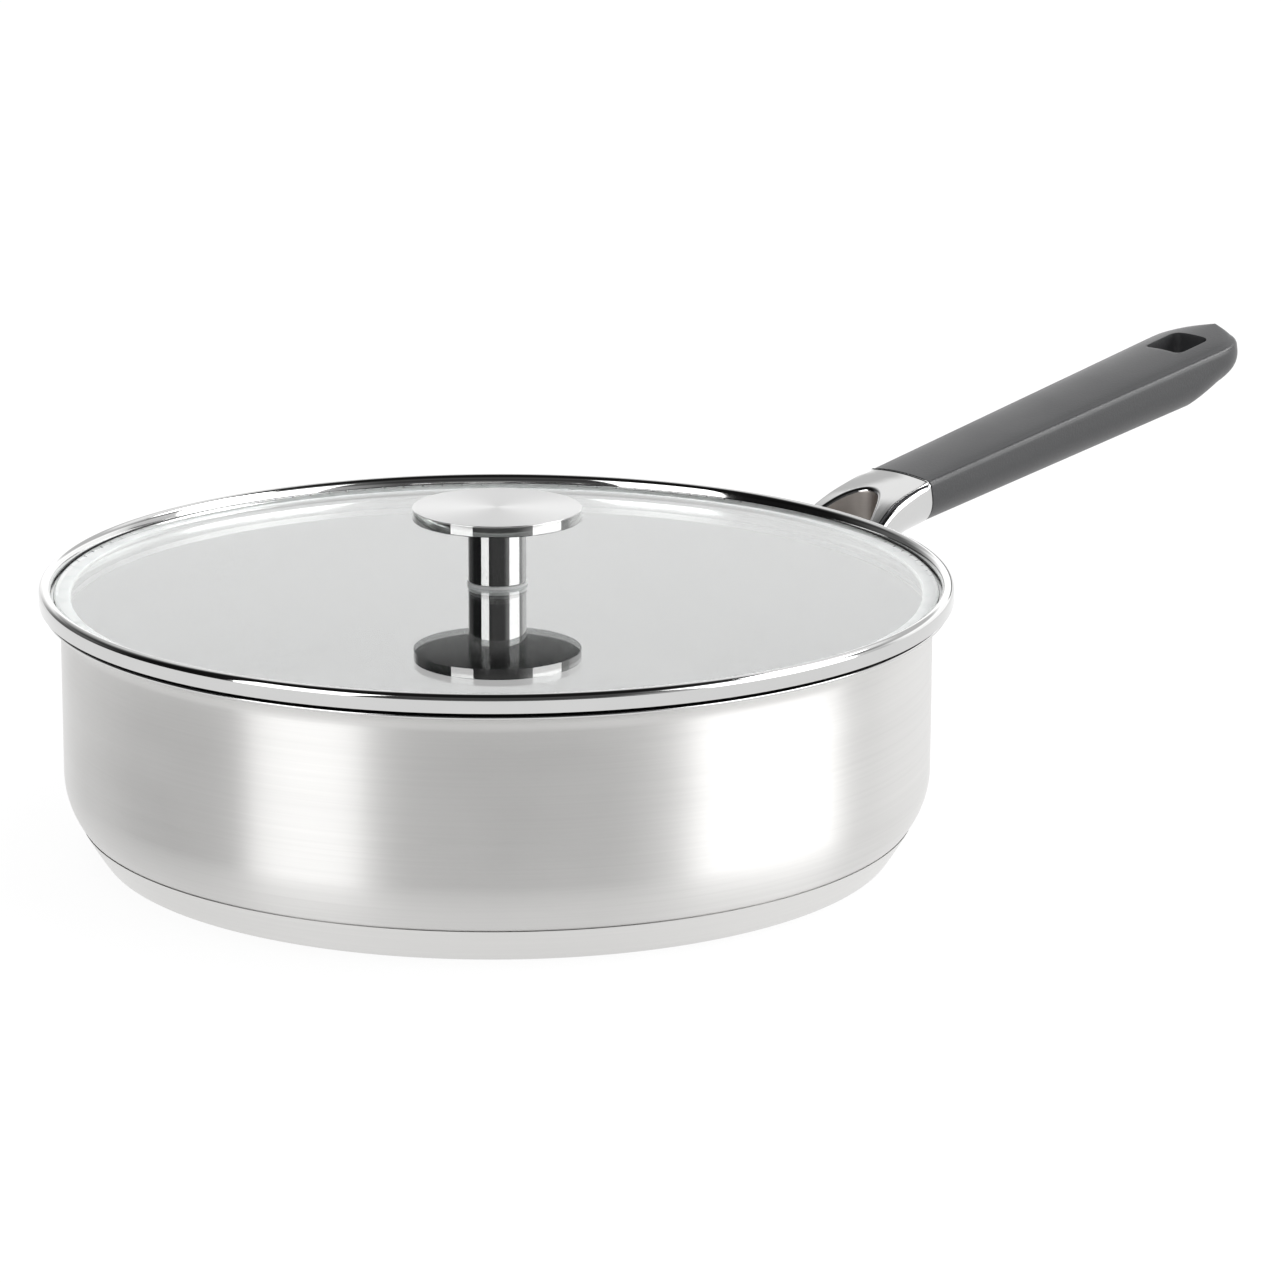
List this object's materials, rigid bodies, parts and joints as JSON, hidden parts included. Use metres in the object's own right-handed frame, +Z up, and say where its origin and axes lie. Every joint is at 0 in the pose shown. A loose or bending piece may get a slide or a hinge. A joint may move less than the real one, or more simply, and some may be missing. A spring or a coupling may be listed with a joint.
{
  "type": "saute pan with lid",
  "caption": "Straight-sided steel saute pan with pouring lip, dark cooking layer, bonded base, long black grip on a polished bracket, and a lift-off glass lid with a steel band and round knob.",
  "frame": {"origin": "centre of the flat base, on the surface that the pan stands on", "axes": "+Z up along the pan's axis, +X from the pan's axis towards the handle's tip, +Y completes the right-handed frame"},
  "size_m": [0.4187, 0.2516, 0.1078],
  "materials": {
    "vessel_steel": "brushed round the wall, polished lip",
    "cooking_layer": "satin black non-stick layer",
    "core_aluminium": "plain, sealed in the base",
    "base_steel": "fine turned satin",
    "bracket_steel": "mirror polished, brushed in the recess",
    "grip_plastic": "matt, fine grain",
    "screw_steel": "bright",
    "clear_glass": "clear, polished",
    "band_steel": "mirror polished",
    "clear_silicone": "clear silicone",
    "knob_steel": "satin top, polished wall",
    "post_steel": "polished"
  },
  "bodies": {
    "pan": {"pan_vessel": "vessel_steel", "nonstick_lining": "cooking_layer", "base_core": "core_aluminium", "base_cap": "base_steel", "handle_bracket": "bracket_steel", "handle_grip": "grip_plastic", "handle_screw": "screw_steel", "handle_washer": "screw_steel"},
    "lid": {"lid_glass": "clear_glass", "lid_rim": "band_steel", "rim_gasket": "clear_silicone", "knob_disc": "knob_steel", "knob_post": "post_steel", "knob_washer_top": "clear_silicone", "knob_washer_bottom": "clear_silicone", "knob_plate_washer": "screw_steel", "knob_screw": "screw_steel"}
  },
  "joints": [
    {"name": "lid_lift", "type": "slide", "parent": "pan", "child": "lid", "axis": [0, 0, 1], "range_m": [0, 0.1]}
  ]
}
